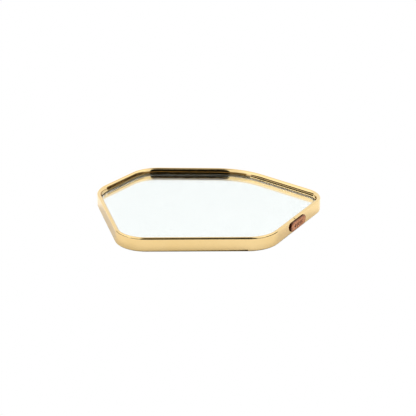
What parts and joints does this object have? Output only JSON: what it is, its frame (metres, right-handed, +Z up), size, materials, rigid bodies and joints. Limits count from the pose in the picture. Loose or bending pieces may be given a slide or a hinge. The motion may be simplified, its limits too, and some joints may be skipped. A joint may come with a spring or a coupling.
{
  "type": "vanity tray",
  "caption": "Shallow irregular six-sided vanity tray: mirror floor in a gold-plated formed rim with rolled crest, leather-look badge on one wall, felt base on stick-on feet.",
  "frame": {"origin": "on the table, under the middle of the tray's outline box", "axes": "+Z up; +X along the outline's longer side, towards the narrow right-hand corner; -Y towards the long front wall"},
  "size_m": [0.19, 0.16, 0.015],
  "materials": {
    "gold_rim": "mirror-polished pale gold plating over formed steel strip",
    "bare_steel": "bare rolled steel, dull",
    "clear_glass": "clear polished float glass, faint green edge",
    "silvering": "silvered, backed with grey paint",
    "foam": "white closed-cell foam tape",
    "hardboard": "raw fibreboard",
    "felt": "black needle felt",
    "foot_rubber": "matt black rubber",
    "brown_leather": "fine-grained brown leather with dark burnished edges",
    "clear_tape": "translucent double-sided tape"
  },
  "bodies": {
    "root": {"rim_band": "gold_rim", "seam_splice_plate": "bare_steel", "rim_tab_1": "bare_steel", "rim_tab_2": "bare_steel", "rim_tab_3": "bare_steel", "rim_tab_4": "bare_steel", "rim_tab_5": "bare_steel", "rim_tab_6": "bare_steel", "mirror_glass": "clear_glass", "mirror_silvering": "silvering", "foam_tape_1": "foam", "foam_tape_2": "foam", "foam_tape_3": "foam", "foam_tape_4": "foam", "backing_board": "hardboard", "base_felt": "felt", "foot_pad_1": "foot_rubber", "foot_pad_2": "foot_rubber", "foot_pad_3": "foot_rubber", "foot_pad_4": "foot_rubber", "foot_pad_5": "foot_rubber", "foot_pad_6": "foot_rubber", "leather_badge": "brown_leather", "badge_tape": "clear_tape"}
  },
  "joints": []
}
